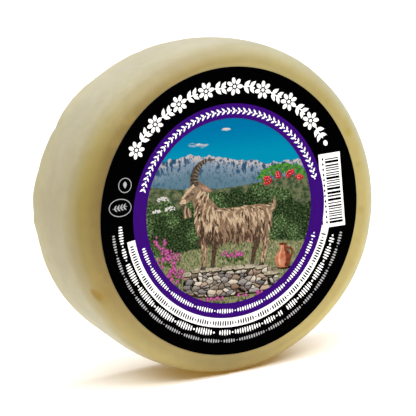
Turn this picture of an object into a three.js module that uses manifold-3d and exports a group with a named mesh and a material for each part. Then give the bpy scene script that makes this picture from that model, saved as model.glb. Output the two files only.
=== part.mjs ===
// A small wheel of semi-cured goat cheese, standing on its rim, with a round paper label on its front face.
// Millimetres, +Z up. The wheel's axis runs along Y and the labelled face looks towards -Y.
// The origin is on the floor, under the middle of the whole.

import * as THREE from "three";
import { mergeVertices } from "three/addons/utils/BufferGeometryUtils.js";
import Module from "manifold-3d";

// The wheel of cheese.
const wheelRadius = 69.6; // at the middle of the rim
const wheelThickness = 46;
const frontRounding = 7; // radius of the edge between the front face and the rim
const backRounding = 10; // radius of the edge between the rim and the back face
const rimBelly = 1; // how far the middle of the rim stands out past its two edges
const backDish = 0.8; // how far the middle of the back face has sunk
const standDepth = 0.4; // how much of the rim is pressed flat where the wheel stands

// A hand-moulded wheel isn't quite round. Each entry adds that many soft lobes around the rim:
// how high they are and where the first one lies, in degrees, at the front and at the back edge.
const rimLobes = [
  { count: 2, front: 0.5, frontAt: 4, back: 2.0, backAt: -14 },
  { count: 3, front: 0.25, frontAt: 49, back: 1.1, backAt: 44 },
  { count: 4, front: 0.7, frontAt: -21, back: 0.1, backAt: 10 },
];

// The paper label, glued a little left of the middle of the front face.
const labelRadius = 60;
const labelThickness = 0.3;
const labelGap = 0.3;
const labelShift = { right: -0.9, up: 0.05 };

// How finely the round shapes are cut.
const stepsAround = 96;
const stepsOnEdge = 6;
const stepsOnRim = 6;
const stepsOnBack = 3;

const rindColour = 0xd9cfa6;
const labelColour = 0x141216;

const halfThickness = wheelThickness / 2;

// A rounded edge as a quarter circle, from the face (share 0) to the rim (share 1). Side is -1 at
// the front and 1 at the back.
function edgePoint(rounding, side, share) {
  const turn = (Math.PI / 2) * share;
  const out = wheelRadius - rimBelly - rounding * (1 - Math.sin(turn));
  const along = halfThickness - rounding * (1 - Math.cos(turn));
  return new THREE.Vector2(out, side * along);
}

// Half of the wheel's section as (distance from the axis, place along the axis), from the middle of
// the front face round the rim to the middle of the back face. A lathe's axis is Y, so back is +Y.
function wheelSection() {
  const points = [new THREE.Vector2(0, -halfThickness)];
  for (let i = 0; i <= stepsOnEdge; i += 1) {
    points.push(edgePoint(frontRounding, -1, i / stepsOnEdge));
  }
  const rimStart = frontRounding - halfThickness;
  const rimEnd = halfThickness - backRounding;
  for (let i = 1; i < stepsOnRim; i += 1) {
    const share = i / stepsOnRim;
    const out = wheelRadius - rimBelly * (2 * share - 1) ** 2;
    points.push(new THREE.Vector2(out, THREE.MathUtils.lerp(rimStart, rimEnd, share)));
  }
  for (let i = stepsOnEdge; i >= 0; i -= 1) {
    points.push(edgePoint(backRounding, 1, i / stepsOnEdge));
  }
  const backFace = wheelRadius - rimBelly - backRounding;
  for (let i = stepsOnBack - 1; i >= 0; i -= 1) {
    const share = i / stepsOnBack;
    const sunk = (backDish * (1 + Math.cos(Math.PI * share))) / 2;
    points.push(new THREE.Vector2(backFace * share, halfThickness - sunk));
  }
  return points;
}

// How far the rim stands out past a true circle, at an angle around the axis. Share is 0 at the
// front face and 1 at the back face.
function lobeHeight(angle, share) {
  let height = 0;
  for (const lobe of rimLobes) {
    const front = lobe.front * Math.cos(lobe.count * (angle - THREE.MathUtils.degToRad(lobe.frontAt)));
    const back = lobe.back * Math.cos(lobe.count * (angle - THREE.MathUtils.degToRad(lobe.backAt)));
    height += THREE.MathUtils.lerp(front, back, share);
  }
  return height;
}

// Gives a revolved wheel its lobes.
function makeUneven(geometry) {
  const position = geometry.attributes.position;
  for (let i = 0; i < position.count; i += 1) {
    const x = position.getX(i);
    const y = position.getY(i);
    const z = position.getZ(i);
    const share = 0.5 + y / wheelThickness;
    const grow = 1 + lobeHeight(Math.atan2(z, x), share) / wheelRadius;
    position.setX(i, x * grow);
    position.setZ(i, z * grow);
  }
  return geometry;
}

const wasm = await Module();
wasm.setup();

// A closed shape with each shared corner stored once, as a solid that can be cut.
function toSolid(geometry) {
  const bare = geometry.clone();
  bare.deleteAttribute("normal");
  bare.deleteAttribute("uv");
  const welded = mergeVertices(bare, 1e-3);
  return new wasm.Manifold(
    new wasm.Mesh({
      numProp: 3,
      vertProperties: new Float32Array(welded.attributes.position.array),
      triVerts: new Uint32Array(welded.index.array),
    }),
  );
}

function toGeometry(solid) {
  const mesh = solid.getMesh();
  const geometry = new THREE.BufferGeometry();
  geometry.setAttribute("position", new THREE.BufferAttribute(new Float32Array(mesh.vertProperties), 3));
  geometry.setIndex(new THREE.BufferAttribute(new Uint32Array(mesh.triVerts), 1));
  geometry.computeVertexNormals();
  return geometry;
}

// The cheese: the wheel with the bottom of its rim cut flat at z = 0.
function makeCheese(wheel) {
  const below = new THREE.BoxGeometry(3 * wheelRadius, 3 * wheelRadius, wheelRadius);
  below.translate(0, 0, -wheelRadius / 2);
  const geometry = toGeometry(toSolid(wheel).subtract(toSolid(below)));
  const material = new THREE.MeshStandardMaterial({ color: rindColour, roughness: 0.45, metalness: 0 });
  const cheese = new THREE.Mesh(geometry, material);
  cheese.name = "cheese";
  return cheese;
}

// The label: a thin disc of paper on the front face of the wheel.
function makeLabel(axisHeight) {
  const geometry = new THREE.CylinderGeometry(labelRadius, labelRadius, labelThickness, stepsAround);
  const material = new THREE.MeshStandardMaterial({ color: labelColour, roughness: 0.4, metalness: 0 });
  const label = new THREE.Mesh(geometry, material);
  label.name = "label";
  label.position.set(
    labelShift.right,
    -halfThickness - labelGap - labelThickness / 2,
    axisHeight + labelShift.up,
  );
  return label;
}

const wheel = makeUneven(new THREE.LatheGeometry(wheelSection(), stepsAround));
wheel.computeBoundingBox();
const axisHeight = -wheel.boundingBox.min.z - standDepth;
wheel.translate(0, 0, axisHeight);

const group = new THREE.Group();
group.add(makeCheese(wheel), makeLabel(axisHeight));

// Moves both pieces so that the origin is under the middle of their box.
const middle = new THREE.Box3().setFromObject(group).getCenter(new THREE.Vector3());
for (const piece of group.children) {
  piece.position.x -= middle.x;
  piece.position.y -= middle.y;
}

export default group;
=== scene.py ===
"""Dresses a small wheel of semi-cured goat cheese: its waxy rind, its round paper label and the print on it.

Metres throughout, +Z up. The wheel stands on its rim at the origin and its label looks towards -Y.
Artwork is drawn in label radii, with u to the label's right and v towards its top.
"""

import math
import random

import bmesh
import bpy
from bpy.props import FloatProperty, FloatVectorProperty, IntProperty, PointerProperty
from mathutils import Matrix, Vector, noise


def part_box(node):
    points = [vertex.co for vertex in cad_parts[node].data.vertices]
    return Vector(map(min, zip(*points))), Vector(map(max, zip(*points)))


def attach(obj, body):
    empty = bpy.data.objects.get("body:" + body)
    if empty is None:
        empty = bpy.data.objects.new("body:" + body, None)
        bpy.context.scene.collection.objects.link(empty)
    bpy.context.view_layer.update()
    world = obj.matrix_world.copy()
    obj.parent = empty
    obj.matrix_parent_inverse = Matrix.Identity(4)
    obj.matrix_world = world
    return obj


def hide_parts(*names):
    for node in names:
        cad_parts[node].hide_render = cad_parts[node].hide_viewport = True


bl_info = {
    "name": "Goat Cheese Wheel",
    "version": (1, 0, 0),
    "blender": (4, 5, 0),
    "location": "3D View > Sidebar > Cheese",
    "description": "Builds the rind, label and print of a small goat cheese wheel",
    "category": "Object",
}

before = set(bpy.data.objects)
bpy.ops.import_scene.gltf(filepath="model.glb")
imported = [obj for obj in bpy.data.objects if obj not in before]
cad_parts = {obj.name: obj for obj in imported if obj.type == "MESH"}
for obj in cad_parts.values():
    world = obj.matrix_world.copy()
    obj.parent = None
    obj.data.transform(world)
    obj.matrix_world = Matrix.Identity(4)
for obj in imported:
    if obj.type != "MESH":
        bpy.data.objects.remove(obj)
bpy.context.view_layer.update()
CHEESE_LOW, CHEESE_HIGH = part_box("cheese")
LABEL_LOW, LABEL_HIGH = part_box("label")

MM = 0.001
BODY = "root"

LABEL_RADIUS = (LABEL_HIGH.x - LABEL_LOW.x) / 2
LABEL_CENTRE = Vector(((LABEL_LOW.x + LABEL_HIGH.x) / 2, 0, (LABEL_LOW.z + LABEL_HIGH.z) / 2))
LABEL_TURN = math.radians(5.9)  # clockwise, seen from the front
FRONT_FACE = CHEESE_LOW.y
THICKNESS = CHEESE_HIGH.y - CHEESE_LOW.y
AXIS = LABEL_CENTRE + Vector((0.9, 0, -0.05)) * MM  # where the wheel's axis crosses the XZ plane

# How much brighter than their own colours the lamps show the label's inks.
LAMP_GAIN = 1.78

# The lobes of the hand-moulded rim: count, height and place in degrees at the front, then at the back.
RIM_LOBES = ((2, 0.5, 4, 2.0, -14), (3, 0.25, 49, 1.1, 44), (4, 0.7, -21, 0.1, 10))


def srgb(red, green, blue):
    """A colour given as 0 to 255 on a screen, as scene-linear numbers."""
    return tuple(
        c / 12.92 if c <= 0.04045 else ((c + 0.055) / 1.055) ** 2.4
        for c in (red / 255, green / 255, blue / 255)
    )


def ink(red, green, blue):
    """A printed colour, given as the picture shows it under the lamps, which brighten the label."""
    return tuple(c / LAMP_GAIN for c in srgb(red, green, blue))


def colour(name, value, description):
    return FloatVectorProperty(
        name=name, description=description, subtype="COLOR", size=3, min=0, max=1, default=value
    )


def length(name, millimetres, description):
    return FloatProperty(
        name=name, description=description, subtype="DISTANCE", unit="LENGTH", min=0,
        default=millimetres * MM,
    )


def angle(name, degrees, description):
    return FloatProperty(
        name=name, description=description, subtype="ANGLE", unit="ROTATION",
        default=math.radians(degrees),
    )


def power(name, watts, description):
    return FloatProperty(name=name, description=description, unit="POWER", min=0, default=watts)


class RindSettings(bpy.types.PropertyGroup):
    """Sizes and colours of the cheese itself."""

    radius: length("Radius", 69.58, "Radius of the wheel at the middle of its rim")
    front_rounding: length("Front rounding", 7, "Radius of the edge round the front face")
    back_rounding: length("Back rounding", 10, "Radius of the edge round the back face")
    belly: length("Belly", 1, "How far the middle of the rim stands out")
    back_dish: length("Back dish", 0.8, "How far the middle of the back face has sunk")
    relief: length("Relief", 0.2, "Height of the soft unevenness of the rind")
    steps_around: IntProperty(
        name="Steps around", description="Quads around the rim", default=640, min=96, max=1024
    )
    # The gold, olive, top, grey and foot colours drift round the wheel: partly the rind's own colour, partly
    # painted light on the right, top and foot and painted shade on the left.
    face_tan: colour("Tan face", (0.260, 0.199, 0.067), "The faces' own golden tan")
    face_gold: colour("Gold face", (0.338, 0.271, 0.091), "Paler gold of the faces' right")
    face_olive: colour("Olive face", (0.137, 0.091, 0.015), "Olive brown of the faces' left")
    face_top: colour("Top of the face", (0.301, 0.251, 0.099), "Greyer tan of the faces' upper right")
    edge_tan: colour("Tan edge", (0.263, 0.214, 0.093), "The rounded edges' own tan")
    edge_gold: colour("Gold edge", (0.316, 0.318, 0.208), "Paler gold of the edges' right")
    edge_olive: colour("Olive edge", (0.204, 0.154, 0.033), "Olive brown of the edges' left")
    edge_top: colour("Top of the edge", (0.331, 0.309, 0.195), "Greyer tan of the edges' upper right")
    edge_low: colour("Foot of the edge", (0.418, 0.334, 0.100), "Warm gold at the foot of the edges")
    rim_ivory: colour("Ivory rim", (0.389, 0.358, 0.255), "The rim's own ivory")
    rim_grey: colour("Greyish rim", (0.341, 0.314, 0.212), "Greyish ivory of the rim's left")
    rim_low: colour("Foot of the rim", (0.560, 0.560, 0.408), "Pale ivory at the foot of the rim")
    rim_back: colour("Back of the rim", (0.396, 0.368, 0.225), "Ivory beside the back edge")
    back_tan: colour("Back tan", (0.45, 0.392, 0.212), "Darker clouds on the back face")
    back_ivory: colour("Back ivory", (0.49, 0.44, 0.265), "Paler clouds on the back face")
    # Painted shade: the colour is darker and warmer near the floor, where the wheel stands.
    floor_shade: colour("Painted floor shade", (0.617, 0.584, 0.527), "How much of the colour is left near the floor")
    patch: colour("Patch", ink(196, 166, 86), "Soft yellow patches on the faces")
    stain: colour("Stain", (0.225, 0.132, 0.0), "Golden brown in the pit")


class PrintSettings(bpy.types.PropertyGroup):
    """Colours of the label's inks."""

    black: colour("Black", ink(1, 1, 2), "Border")
    purple: colour("Purple", ink(62, 16, 124), "Ring round the picture")
    white: colour("White", srgb(236, 235, 233), "Ornaments, band and panel")
    grey: colour("Grey", ink(196, 196, 198), "Small emblems and the outermost marks")
    paper_thickness: length("Paper thickness", 0.22, "Thickness of the label's paper")


class StageSettings(bpy.types.PropertyGroup):
    """Camera, floor and lamps."""

    azimuth: angle("Azimuth", -27.43, "Where the camera stands round the wheel")
    elevation: angle("Elevation", 12, "How high the camera stands")
    roll: angle("Roll", 5.33, "How far the floor's upright leans left in the picture")
    distance: length("Distance", 2000, "From the camera to the label")
    floor: colour("Floor", (0.935, 0.94, 0.955), "Plain pale floor")
    glow: colour("Glow", (0.172, 0.092, 0.0), "Warm light that comes up through the floor")
    dome: FloatProperty(name="Dome", description="Strength of the white surround", min=0, default=0.41)
    overhead: power("Overhead", 47.8, "Power of the softbox overhead")
    front: power("Front", 21.2, "Power of the strip light in front")


class Value:
    """A number, colour or vector on its way through a material's nodes."""

    def __init__(self, paint, socket):
        self.paint = paint
        self.socket = socket

    def _math(self, operation, *others):
        return self.paint.node("ShaderNodeMath", {"operation": operation}, (self, *others))

    def __add__(self, other):
        return self._math("ADD", other)

    __radd__ = __add__

    def __mul__(self, other):
        return self._math("MULTIPLY", other)

    __rmul__ = __mul__

    def __sub__(self, other):
        return self._math("SUBTRACT", other)

    def __rsub__(self, other):
        return self.paint.node("ShaderNodeMath", {"operation": "SUBTRACT"}, (other, self))

    def __truediv__(self, other):
        return self._math("DIVIDE", other)

    def __pow__(self, other):
        return self._math("POWER", other)

    def __neg__(self):
        return self * -1

    def least(self, other):
        return self._math("MINIMUM", other)

    def most(self, other):
        return self._math("MAXIMUM", other)

    def sine(self):
        return self._math("SINE")

    def size(self):
        """The number without its sign."""
        return self._math("ABSOLUTE")

    def root(self):
        return self._math("SQRT")

    def rise(self, low, high):
        """0 below low and 1 above high, with a smooth step between. High may be the smaller."""
        return self.paint.node(
            "ShaderNodeMapRange",
            {"interpolation_type": "SMOOTHSTEP"},
            {"Value": self, "From Min": low, "From Max": high},
        )


class Paint:
    """A material or a world that is being made: its nodes are added one expression at a time."""

    def __init__(self, owner):
        self.owner = owner
        owner.use_nodes = True
        self.nodes = owner.node_tree.nodes
        self.links = owner.node_tree.links
        self.nodes.clear()

    def node(self, kind, settings=None, inputs=(), output=0):
        """Adds a node with its settings and its inputs' values or links. Returns an output, if any."""
        made = self.nodes.new(kind)
        for name, value in (settings or {}).items():
            setattr(made, name, value)
        pairs = inputs.items() if isinstance(inputs, dict) else enumerate(inputs)
        for key, value in pairs:
            socket = made.inputs[key]
            if isinstance(value, Value):
                self.links.new(value.socket, socket)
            elif socket.type == "RGBA":
                socket.default_value = (*value, 1)
            else:
                socket.default_value = value
        return Value(self, made.outputs[output]) if made.outputs else None

    def place(self):
        """The point on the piece, in metres in the part's frame."""
        return self.node("ShaderNodeTexCoord", output="Object")

    def axes(self, vector):
        """The three numbers of a vector."""
        first = self.node("ShaderNodeSeparateXYZ", None, (vector,))
        return tuple(Value(self, socket) for socket in first.socket.node.outputs)

    def vector(self, x, y, z):
        return self.node("ShaderNodeCombineXYZ", None, (x, y, z))

    def stretch(self, vector, by):
        return self.node("ShaderNodeVectorMath", {"operation": "MULTIPLY"}, (vector, by))

    def distance(self, vector, point):
        return self.node(
            "ShaderNodeVectorMath", {"operation": "DISTANCE"}, (vector, point), output="Value"
        )

    def grain(self, vector, scale, detail, roughness):
        """Soft noise between 0 and 1. Scale is in lumps for each unit of the vector."""
        return self.node(
            "ShaderNodeTexNoise",
            None,
            {"Vector": vector, "Scale": scale, "Detail": detail, "Roughness": roughness},
        )

    def cells(self, vector, scale, feature="F1", output="Distance"):
        return self.node(
            "ShaderNodeTexVoronoi",
            {"feature": feature},
            {"Vector": vector, "Scale": scale},
            output,
        )

    def mix(self, first, second, share):
        """First where share is 0 and second where it is 1, as colours."""
        # Of the Mix node's sockets, these are its factor and its two colours, and 2 is its mixed colour.
        return self.node("ShaderNodeMix", {"data_type": "RGBA"}, {0: share, 6: first, 7: second}, 2)

    def tint(self, base, tint, share):
        """Base where share is 0, and base times the tint where share is 1."""
        return self.stretch(base, self.mix((1.0, 1.0, 1.0), tint, share))

    def bump(self, height, distance, strength=1.0):
        return self.node(
            "ShaderNodeBump", None, {"Height": height, "Distance": distance, "Strength": strength}
        )

    def finish(self, inputs):
        """Ends a material with its surface, which has the inputs given. Returns the material."""
        surface = self.node("ShaderNodeBsdfPrincipled", None, inputs)
        self.node("ShaderNodeOutputMaterial", None, {"Surface": surface})
        return self.owner


# Shapes and pieces.


def polar(radius, degrees):
    return radius * math.cos(math.radians(degrees)), radius * math.sin(math.radians(degrees))


def around(centre, radius, degrees):
    """The point that lies at a distance and an angle from a centre."""
    across, up = polar(radius, degrees)
    return centre[0] + across, centre[1] + up


def smoothstep(low, high, value):
    share = min(max((value - low) / (high - low), 0), 1)
    return share * share * (3 - 2 * share)


def new_piece(name, mesh_maker, materials, replaces=()):
    """A piece from a bmesh and its materials. It rides on the wheel and has a material slot's finish."""
    mesh = bpy.data.meshes.new(name)
    mesh_maker.to_mesh(mesh)
    mesh_maker.free()
    piece = bpy.data.objects.new(name, mesh)
    bpy.context.scene.collection.objects.link(piece)
    for material in materials:
        mesh.materials.append(material)
    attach(piece, BODY)
    if replaces:
        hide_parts(*replaces)
    return piece


# The rind.

# How finely the wheel's section is cut. The rings of the front face are closer together past the split.
FACE_SPLIT = 58 * MM
FACE_STEPS = 6
FRONT_EDGE_STEPS = 12
RIM_STEPS = 40
BACK_EDGE_STEPS = 14
BACK_FACE_STEPS = 44

ROUND_RADIUS = 69.6 * MM  # the radius that the solid's lobes swell from
TINY = 1e-9  # a length that counts as none

# The front face is smooth under the label. Its relief begins and is whole this far from the label's middle.
RELIEF_BEGINS, RELIEF_WHOLE = 60.2 * MM, 63 * MM

# The soft relief as three sizes of lump: how many a metre, their share of the height, and an offset.
RELIEF_LUMPS = (
    (32, 1.1, Vector((0, 0, 0))),
    (90, 0.45, Vector((7, 3, 1))),
    (260, 0.14, Vector((2, 9, 5))),
)

# Stained dents: angle round the rim in degrees, place from the front face, reach and depth in millimetres.
DENTS = (
    (202.0, 4.7, 1.6, 0.5),
    (200.5, 5.7, 1.3, 0.3),
)

# Lumps and nicks along the rim: angle and width in degrees, height in millimetres, and the shares of
# the way from the front to the back face where each begins and is whole.
BACK_EDGE = (0.72, 0.9)
FRONT_EDGE = (0.35, 0.12)
RIM_LUMPS = (
    (43, 9, -0.30, FRONT_EDGE),
    (344, 5, -0.16, FRONT_EDGE),
    (88, 8, -0.42, BACK_EDGE),
    (103, 1.3, -0.33, BACK_EDGE),
    (120, 4.5, -0.17, BACK_EDGE),
    (127, 2.5, 0.26, BACK_EDGE),
    (133, 4.5, 0.55, BACK_EDGE),
    (139, 2.5, 0.36, BACK_EDGE),
    (145, 1.3, -0.5, BACK_EDGE),
    (152, 8, -0.37, BACK_EDGE),
    (160.5, 2.5, -0.38, BACK_EDGE),
    (170, 4.5, 0.44, BACK_EDGE),
    (178, 1.6, 0.42, BACK_EDGE),
    (183, 1.3, -0.2, BACK_EDGE),
    (186.5, 4.5, -0.37, BACK_EDGE),
    (205, 8, 0.25, BACK_EDGE),
    (227, 9, -0.60, (0.4, 0.75)),
)

# Faint spots: the side they lie on in degrees, distance from the axis and from the front face and
# reach in millimetres, and their colour.
SPOTS = (
    (21.3, 62.4, 0.1, 2.0, (0.94, 0.90, 0.58)),
    (7.8, 61.6, 0.0, 1.6, (0.89, 0.86, 0.67)),
    (350.0, 61.2, 0.0, 1.8, (0.87, 0.84, 0.69)),
    (338.3, 61.6, 0.1, 1.5, (0.98, 0.97, 0.86)),
    (36.9, 61.8, 0.1, 1.6, (0.98, 0.98, 0.80)),
    (190.7, 70.1, 33.0, 1.4, (0.90, 0.88, 0.80)),
    (142.5, 69.9, 35.9, 1.4, (0.93, 0.92, 0.86)),
    (121.3, 68.0, 10.9, 1.6, (1.07, 1.07, 1.09)),
    (125.4, 68.4, 12.1, 1.4, (1.06, 1.06, 1.08)),
    (216.2, 68.6, 22.5, 3.0, (1.06, 1.07, 1.13)),
    (231.5, 67.1, 3.0, 1.2, (0.96, 0.94, 0.98)),
    (202.5, 66.5, 2.8, 4.5, (0.91, 0.83, 0.54)),
)

# Tints of single places of the rind, most of them painted light and shade: the side they lie on in degrees,
# how narrow they are, where along the section they begin and are whole, where they fade and end, in
# millimetres, and their colour.
PAINTED_LIGHT_AND_SHADE = (
    (92, 8, (-2, 1), (7, 12), (0.86, 0.85, 0.81)),
    (184, 3, (12, 19), (60, 70), (0.92, 0.89, 0.79)),
    (137, 6, (24, 34), (60, 70), (1.11, 1.11, 1.20)),
    (137, 4, (9.5, 13), (14, 19), (1.06, 1.08, 1.07)),
    (315, 4, (1, 4), (9, 12), (1.22, 1.19, 1.05)),
    (268, 8, (5, 10), (60, 70), (0.99, 0.88, 0.84)),
    (45, 8, (-3, -1), (0, 3), (0.93, 0.90, 0.76)),
    (225, 6, (30, 40), (60, 70), (1.13, 1.15, 1.17)),
    (120, 18, (1, 6), (11, 18), (1.06, 1.10, 1.38)),
    (147, 12, (0, 2), (5, 8), (1.04, 1.05, 1.15)),
    (146, 12, (9, 12), (16, 20), (0.99, 0.98, 0.88)),
    (184, 12, (8, 12), (19, 25), (0.97, 0.95, 0.84)),
    (198, 16, (-2, 1), (8, 12), (0.98, 0.94, 0.80)),
    (30, 24, (1, 8), (60, 70), (1.07, 1.11, 1.27)),
    (233, 24, (1, 4), (11, 14), (1.00, 1.04, 1.18)),
    (230, 30, (18, 24), (60, 70), (1.08, 1.12, 1.26)),
)

# Sides of the wheel where its colours are strongest, in degrees from its right. Their drift is partly the
# rind's own colour and partly painted shade and light: olive and grey on the left, paler gold on the right,
# greyer on top, warm and pale at the foot.
OLIVE_SIDE = 159
TOP_SIDE = 57.5
FOOT_SIDE = 259.7
GREY_SIDE = 180
WIDE_EDGE_SIDE = 108  # the edge's colour reaches further over the rim here


def rim_swell(turn, share):
    """How far the rim stands out past a true circle. Share is 0 at the front and 1 at the back."""
    swell = 0
    for count, front, front_at, back, back_at in RIM_LOBES:
        at_front = front * math.cos(count * (turn - math.radians(front_at)))
        at_back = back * math.cos(count * (turn - math.radians(back_at)))
        swell += at_front + (at_back - at_front) * share
    for degrees, width, height, (begins, whole) in RIM_LUMPS:
        apart = (math.degrees(turn) - degrees + 180) % 360 - 180
        swell += height * math.exp(-((apart / width) ** 2)) * smoothstep(begins, whole, share)
    return swell * MM


def wheel_section(rind):
    """Points from the middle of the front face round the rim to the middle of the back face.

    Each holds its distance from the axis, its place behind the front face, and how far outwards and
    backwards the surface looks there.
    """
    face = rind.radius - rind.belly - rind.front_rounding
    back_face = rind.radius - rind.belly - rind.back_rounding
    points = []
    for inner, outer in ((0, FACE_SPLIT), (FACE_SPLIT, face)):
        for i in range(FACE_STEPS):
            points.append((inner + (outer - inner) * i / FACE_STEPS, 0.0, 0.0, -1.0))
    for i in range(FRONT_EDGE_STEPS + 1):
        turn = math.pi / 2 * i / FRONT_EDGE_STEPS
        out = face + rind.front_rounding * math.sin(turn)
        back = rind.front_rounding * (1 - math.cos(turn))
        points.append((out, back, math.sin(turn), -math.cos(turn)))
    start = rind.front_rounding
    end = THICKNESS - rind.back_rounding
    for i in range(1, RIM_STEPS):
        share = i / RIM_STEPS
        out = rind.radius - rind.belly * (2 * share - 1) ** 2
        points.append((out, start + (end - start) * share, 1.0, 0.0))
    for i in range(BACK_EDGE_STEPS + 1):
        turn = math.pi / 2 * (1 - i / BACK_EDGE_STEPS)
        out = back_face + rind.back_rounding * math.sin(turn)
        back = THICKNESS - rind.back_rounding * (1 - math.cos(turn))
        points.append((out, back, math.sin(turn), math.cos(turn)))
    for i in range(BACK_FACE_STEPS - 1, -1, -1):
        share = i / BACK_FACE_STEPS
        sunk = rind.back_dish * (1 + math.cos(math.pi * share)) / 2
        points.append((back_face * share, THICKNESS - sunk, 0.0, 1.0))
    return points


def rind_point(turn, out, back):
    """A point before its relief, from its angle, distance from the axis and place behind the front."""
    out *= 1 + rim_swell(turn, back / THICKNESS) / ROUND_RADIUS
    return AXIS + Vector((out * math.cos(turn), FRONT_FACE + back, out * math.sin(turn)))


def soft_relief(point, height):
    """The soft unevenness left by the mould's cloth and by turning the wheel by hand, in metres."""
    raised = height * sum(
        share * noise.noise(point * lumps + offset) for lumps, share, offset in RELIEF_LUMPS
    )
    # Bumps are pressed flat by the mould, so the relief only goes inwards.
    return (raised - math.hypot(raised, 0.3 * height)) / 2


def dent_depth(point, centres):
    depth = 0
    for centre, reach, deep in centres:
        near = (point - centre).length / reach
        # Past three times its reach nothing is left of a dent.
        if near < 3:
            depth += deep * math.exp(-near * near)
    return depth


def dent_centres(rind):
    """Where each dent lies, with its reach and depth in metres."""
    rim = [point for point in wheel_section(rind) if point[0] > FACE_SPLIT]
    centres = []
    for degrees, back, reach, deep in DENTS:
        out = min(rim, key=lambda point: abs(point[1] - back * MM))[0]
        centres.append((rind_point(math.radians(degrees), out, back * MM), reach * MM, deep * MM))
    return centres


def rind_rings(maker, rind):
    """The wheel's corners, ring by ring along its section. The first ring and the last are one corner."""
    centres = dent_centres(rind)
    steps = rind.steps_around
    rings = []
    for out, back, out_dir, back_dir in wheel_section(rind):
        if out < TINY:
            rings.append([maker.verts.new(rind_point(0, 0, back))])
            continue
        ring = []
        for i in range(steps):
            turn = 2 * math.pi * i / steps
            point = rind_point(turn, out, back)
            away = Vector((out_dir * math.cos(turn), back_dir, out_dir * math.sin(turn)))
            free = 1
            if back < TINY:
                free = smoothstep(RELIEF_BEGINS, RELIEF_WHOLE, (point - LABEL_CENTRE).xz.length)
            if free > 0:
                point += away * free * (soft_relief(point, rind.relief) - dent_depth(point, centres))
            point.z = max(point.z, 0)
            ring.append(maker.verts.new(point))
        rings.append(ring)
    return rings


def build_rind_mesh(rind):
    """The whole wheel as one closed surface with its relief, pressed flat where it stands."""
    maker = bmesh.new()
    rings = rind_rings(maker, rind)
    steps = rind.steps_around
    for first, second in zip(rings, rings[1:]):
        for i in range(steps):
            j = (i + 1) % steps
            if len(first) == 1:
                maker.faces.new((first[0], second[i], second[j]))
            elif len(second) == 1:
                maker.faces.new((first[i], second[0], first[j]))
            else:
                maker.faces.new((first[i], second[i], second[j], first[j]))
    bmesh.ops.recalc_face_normals(maker, faces=maker.faces)
    for face in maker.faces:
        face.smooth = True
    return maker


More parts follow.
